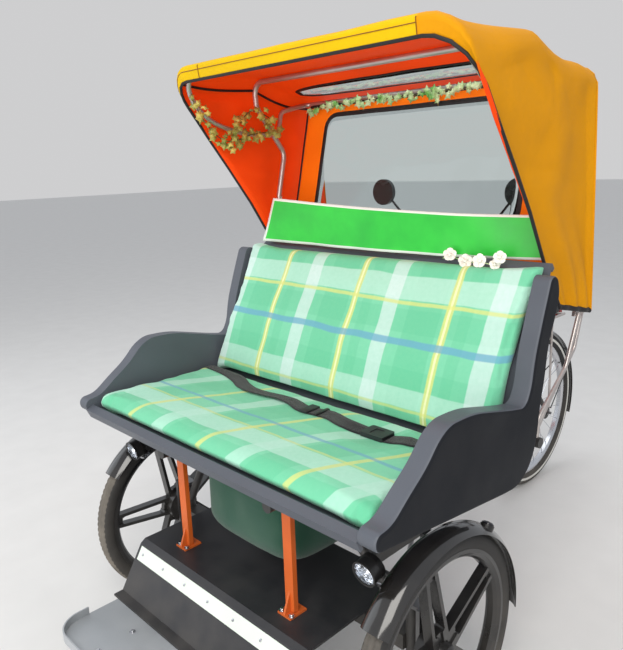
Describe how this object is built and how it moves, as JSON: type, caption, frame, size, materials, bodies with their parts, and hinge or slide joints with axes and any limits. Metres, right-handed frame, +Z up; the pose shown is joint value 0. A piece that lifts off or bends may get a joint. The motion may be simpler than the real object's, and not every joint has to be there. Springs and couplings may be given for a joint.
{
  "type": "front-loading electric cycle rickshaw",
  "caption": "Passenger cycle with a hooded bench seat between steered front wheels and an electric bicycle rear, with turning wheels, cranks and linked steering.",
  "frame": {"origin": "on the floor below the middle of the vehicle's bounding box", "axes": "+Z up, -Y forwards (the passengers look that way), +X towards the vehicle's left side"},
  "size_m": [1.184, 2.372, 1.709],
  "materials": {
    "frame_paint": "satin black",
    "orange_paint": "gloss",
    "grey_steel": "dull, dusty",
    "bright_steel": "polished",
    "board": "satin",
    "strip": "satin",
    "bag_cloth": "woven",
    "shell": "moulded, satin",
    "plaid": "woven plaid",
    "webbing": "woven webbing",
    "hood_cloth": "coated cloth",
    "panel_cloth": "coated cloth",
    "clear_sheet": "flexible clear sheet",
    "banner_cloth": "printed cloth",
    "tyre": "dusty",
    "wheel_cast": "black coated",
    "fender_plastic": "gloss",
    "lamp": "gloss",
    "steel": "machined",
    "rim": "polished",
    "motor": "cast",
    "battery_case": "satin",
    "red_lens": "moulded",
    "saddle_cover": "grained",
    "grip_rubber": "ribbed"
  },
  "bodies": {
    "chassis": {"cabin_frame": "frame_paint", "frame_legs": "orange_paint", "floor_deck": "board", "toe_strip": "strip", "footplate": "grey_steel", "storage_bag": "bag_cloth", "seat_pan": "shell", "seat_back": "shell", "seat_side_left": "shell", "seat_side_right": "shell", "seat_cushion": "plaid", "back_cushion": "plaid", "lap_belt": "webbing", "belt_buckle": "bright_steel", "hood_canopy": "hood_cloth", "hood_bow_front": "bright_steel", "hood_bow_main": "bright_steel", "hood_bow_rear": "bright_steel", "hood_stays": "bright_steel", "rear_panel": "panel_cloth", "hood_windows": "clear_sheet", "banner": "banner_cloth", "rear_frame": "frame_paint", "rear_axle": "steel", "drive_chain": "steel", "drive_motor": "motor", "rear_rack": "frame_paint", "battery": "battery_case", "rear_fender": "fender_plastic", "rear_lamp": "red_lens", "seat_post": "steel", "saddle": "saddle_cover"},
    "steering": {"steering_column": "frame_paint", "handlebar": "bright_steel", "bar_grips": "grip_rubber", "hand_levers": "frame_paint", "mirrors": "fender_plastic"},
    "knuckle_left_body": {"knuckle_left": "steel", "front_fender_left": "fender_plastic", "front_lamps_left": "lamp"},
    "knuckle_right_body": {"knuckle_right": "steel", "front_fender_right": "fender_plastic", "front_lamps_right": "lamp"},
    "front_wheel_left_body": {"front_wheel_left": "wheel_cast", "front_tyre_left": "tyre"},
    "front_wheel_right_body": {"front_wheel_right": "wheel_cast", "front_tyre_right": "tyre"},
    "rear_wheel_body": {"rear_wheel": "rim", "rear_tyre": "tyre"},
    "tie_rod_body": {"tie_rod": "steel"},
    "drag_link_body": {"drag_link": "steel"},
    "crank": {"crank_set": "wheel_cast"},
    "pedal_left_body": {"pedal_left": "wheel_cast"},
    "pedal_right_body": {"pedal_right": "wheel_cast"}
  },
  "joints": [
    {"name": "column_steer", "type": "hinge", "parent": "chassis", "child": "steering", "pos_m": [0, 0.139, 0.5], "axis": [0, 0, 1], "range_deg": [-28, 28]},
    {"name": "knuckle_left_steer", "type": "hinge", "parent": "chassis", "child": "knuckle_left_body", "pos_m": [0.464, -0.641, 0.293], "axis": [0, 0, 1], "range_deg": [-28, 28]},
    {"name": "knuckle_right_steer", "type": "hinge", "parent": "chassis", "child": "knuckle_right_body", "pos_m": [-0.464, -0.641, 0.293], "axis": [0, 0, 1], "range_deg": [-28, 28]},
    {"name": "tie_rod_swing", "type": "hinge", "parent": "knuckle_left_body", "child": "tie_rod_body", "pos_m": [0.464, -0.551, 0.2], "axis": [0, 0, 1], "range_deg": [-28, 28]},
    {"name": "drag_link_swing", "type": "hinge", "parent": "steering", "child": "drag_link_body", "pos_m": [-0.08, 0.139, 0.19], "axis": [0, 0, 1], "range_deg": [-28, 28]},
    {"name": "front_wheel_left_spin", "type": "hinge", "parent": "knuckle_left_body", "child": "front_wheel_left_body", "pos_m": [0.537, -0.641, 0.293], "axis": [1, 0, 0], "continuous": true},
    {"name": "front_wheel_right_spin", "type": "hinge", "parent": "knuckle_right_body", "child": "front_wheel_right_body", "pos_m": [-0.537, -0.641, 0.293], "axis": [1, 0, 0], "continuous": true},
    {"name": "rear_wheel_spin", "type": "hinge", "parent": "chassis", "child": "rear_wheel_body", "pos_m": [0, 0.829, 0.34], "axis": [1, 0, 0], "continuous": true},
    {"name": "crank_spin", "type": "hinge", "parent": "chassis", "child": "crank", "pos_m": [0, 0.389, 0.3], "axis": [1, 0, 0], "continuous": true},
    {"name": "pedal_left_spin", "type": "hinge", "parent": "crank", "child": "pedal_left_body", "pos_m": [0.134, 0.219, 0.3], "axis": [1, 0, 0], "continuous": true},
    {"name": "pedal_right_spin", "type": "hinge", "parent": "crank", "child": "pedal_right_body", "pos_m": [-0.134, 0.559, 0.3], "axis": [1, 0, 0], "continuous": true}
  ],
  "couplings": [
    {"joint": "knuckle_left_steer", "follows": "column_steer", "ratio": 1},
    {"joint": "knuckle_right_steer", "follows": "column_steer", "ratio": 1},
    {"joint": "tie_rod_swing", "follows": "column_steer", "ratio": -1},
    {"joint": "drag_link_swing", "follows": "column_steer", "ratio": -1}
  ]
}
